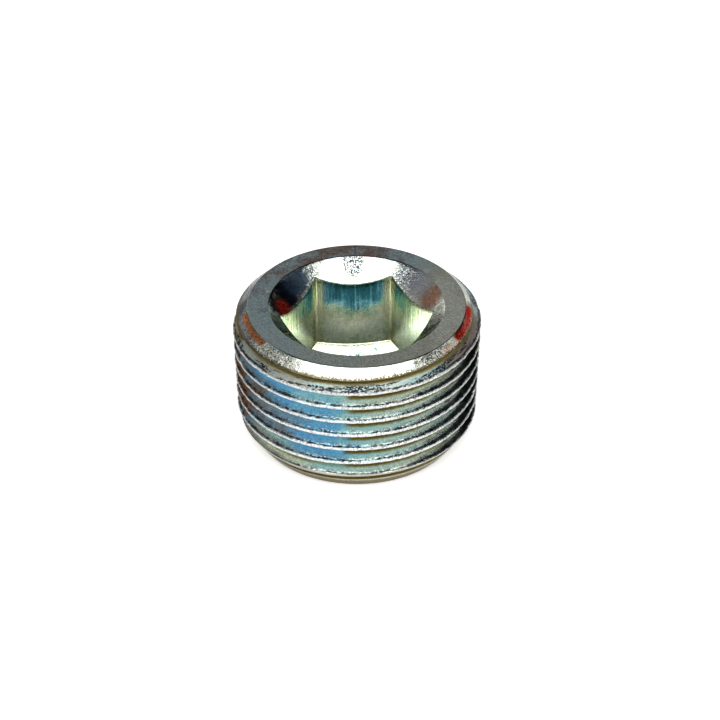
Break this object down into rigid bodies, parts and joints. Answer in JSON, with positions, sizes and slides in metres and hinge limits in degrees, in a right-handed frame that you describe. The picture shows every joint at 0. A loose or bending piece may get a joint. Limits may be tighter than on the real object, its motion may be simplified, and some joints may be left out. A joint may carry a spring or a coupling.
{
  "type": "hex socket pipe plug",
  "caption": "Countersunk hex socket plug with an outside taper pipe thread, screwed into a port to seal it with its face flush.",
  "frame": {"origin": "centre of the small end face, on the plug's axis", "axes": "+Z along the axis, from the small end up to the face with the hex socket; -Y is the line where the thread's crest height is given"},
  "size_m": [0.0267, 0.0266, 0.0158],
  "materials": {
    "plated_steel": "satin zinc plate with a passivated tint"
  },
  "bodies": {
    "root": {"plug_body": "plated_steel"}
  },
  "joints": []
}
